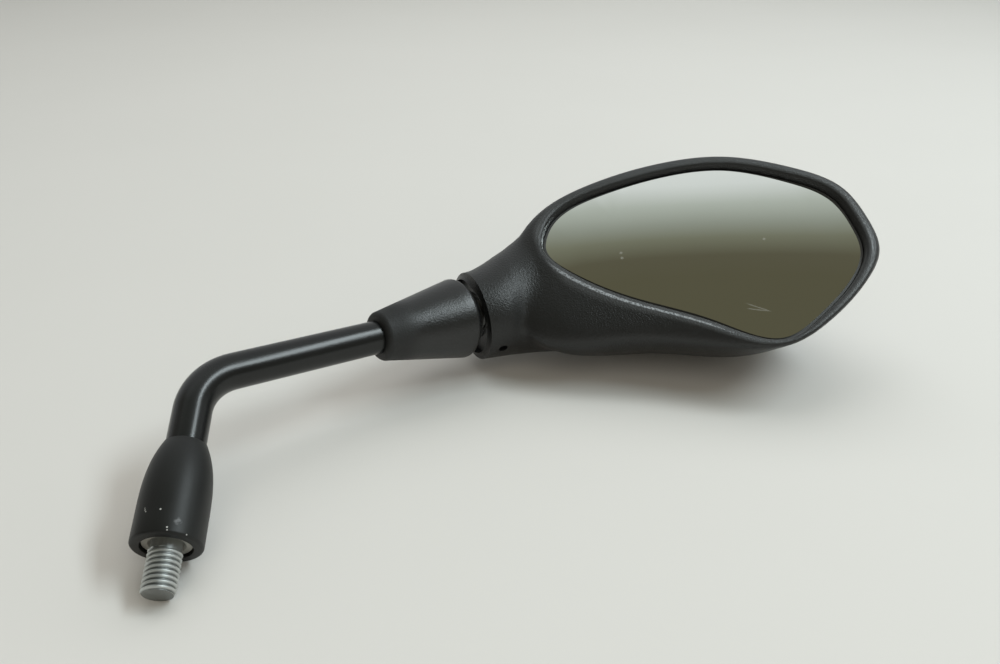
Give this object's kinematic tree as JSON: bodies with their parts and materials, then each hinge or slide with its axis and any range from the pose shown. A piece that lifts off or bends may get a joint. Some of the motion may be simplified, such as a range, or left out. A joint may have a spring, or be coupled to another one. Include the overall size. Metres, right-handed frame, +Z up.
{
  "type": "rear-view mirror",
  "caption": "Motorbike rear-view mirror with a threaded stud, rubber boot, bent steel stem, ball joint and a black moulded head that holds a convex glass.",
  "frame": {"origin": "centre of the stud where it leaves the boot, in the plane of the clamp's face", "axes": "+Z up along the stud into the stem, +X the way the stem bends, -Y the side the glass faces"},
  "size_m": [0.2412, 0.0991, 0.1871],
  "materials": {
    "zinc": "dull zinc plating",
    "boot_rubber": "smooth matte",
    "stem_paint": "satin black paint",
    "black_plastic": "fine moulded grain",
    "steel": "plain",
    "seat_plastic": "smooth",
    "mirror_glass": "polished",
    "carrier_plastic": "smooth",
    "seal_rubber": "smooth"
  },
  "bodies": {
    "stem": {"threaded_stud": "zinc", "lock_nut": "zinc", "nut_boot": "boot_rubber", "stem_tube": "stem_paint", "joint_cover": "black_plastic", "ball_stud": "steel"},
    "front_seat": {"front_seat_ring": "seat_plastic"},
    "rear_seat": {"rear_seat_cup": "seat_plastic"},
    "head": {"pressure_cup": "steel", "pressure_spring": "steel", "spring_plate": "steel", "retaining_ring": "steel", "mirror_shell": "black_plastic", "mirror_glass": "mirror_glass", "glass_carrier": "carrier_plastic", "glass_seal": "seal_rubber"}
  },
  "joints": [
    {"name": "head_swivel", "type": "hinge", "parent": "stem", "child": "front_seat", "pos_m": [0.10015, 0, 0.11311], "axis": [0.8729, 0, 0.4879], "continuous": true},
    {"name": "head_pan", "type": "hinge", "parent": "front_seat", "child": "rear_seat", "pos_m": [0.10015, 0, 0.11311], "axis": [-0.4879, 0, 0.8729], "range_deg": [-1, 27]},
    {"name": "head_tilt", "type": "hinge", "parent": "rear_seat", "child": "head", "pos_m": [0.10015, 0, 0.11311], "axis": [0, 1, 0], "range_deg": [-13.7, 1.3]}
  ]
}
